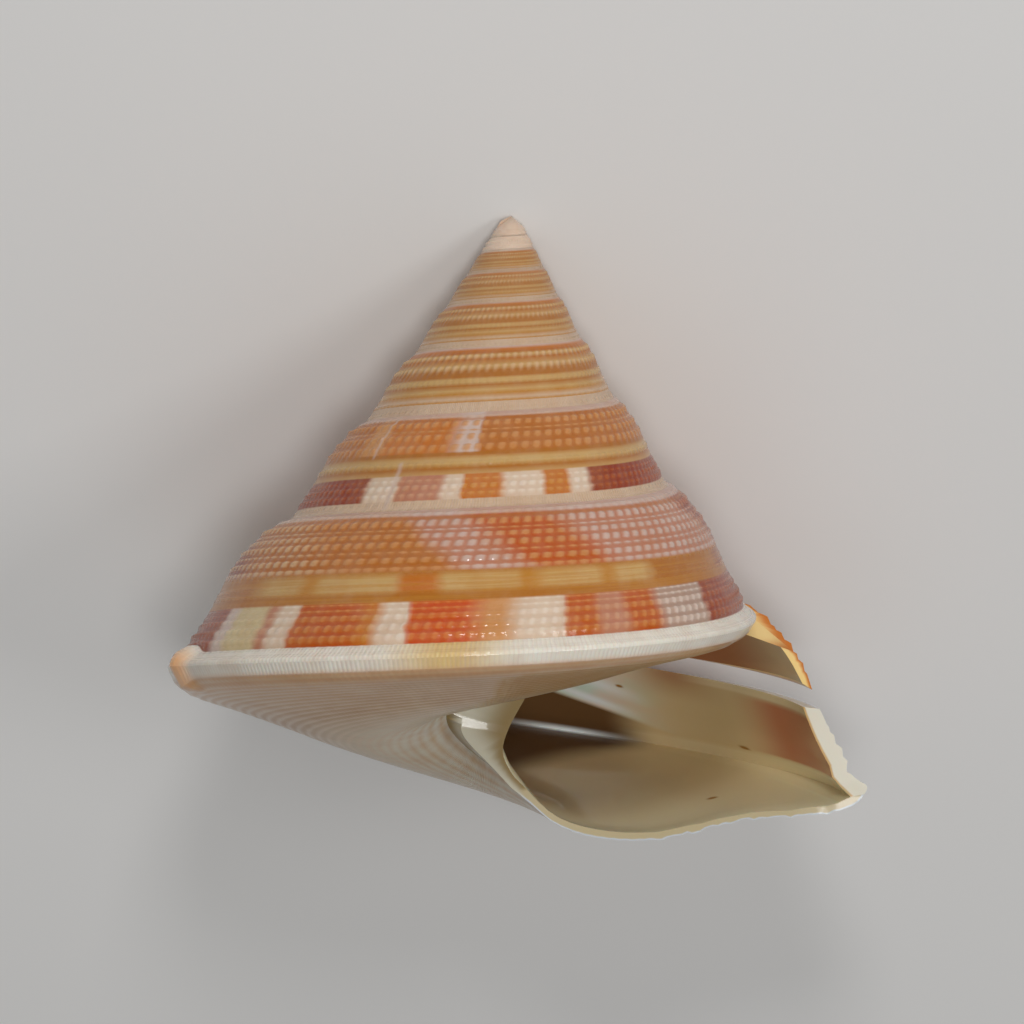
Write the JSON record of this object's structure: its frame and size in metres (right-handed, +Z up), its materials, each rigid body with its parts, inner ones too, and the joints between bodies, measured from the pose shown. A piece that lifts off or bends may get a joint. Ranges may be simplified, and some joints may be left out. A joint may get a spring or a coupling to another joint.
{
  "type": "slit shell",
  "caption": "Conical sea snail shell with a keeled, beaded spire, an open mouth and a narrow slit in its outer lip, lying on its side.",
  "frame": {"origin": "centre of the bottom of the bounding box, on the surface that the shell lies on", "axes": "+Z up; the picture looks along +Y and down; the outer lip is at -X, the closed side of the last whorl at +X, and the tip touches the surface at the -Y side"},
  "size_m": [0.0534, 0.0476, 0.0372],
  "materials": {
    "shell": "satin"
  },
  "bodies": {
    "root": {"shell": "shell"}
  },
  "joints": []
}
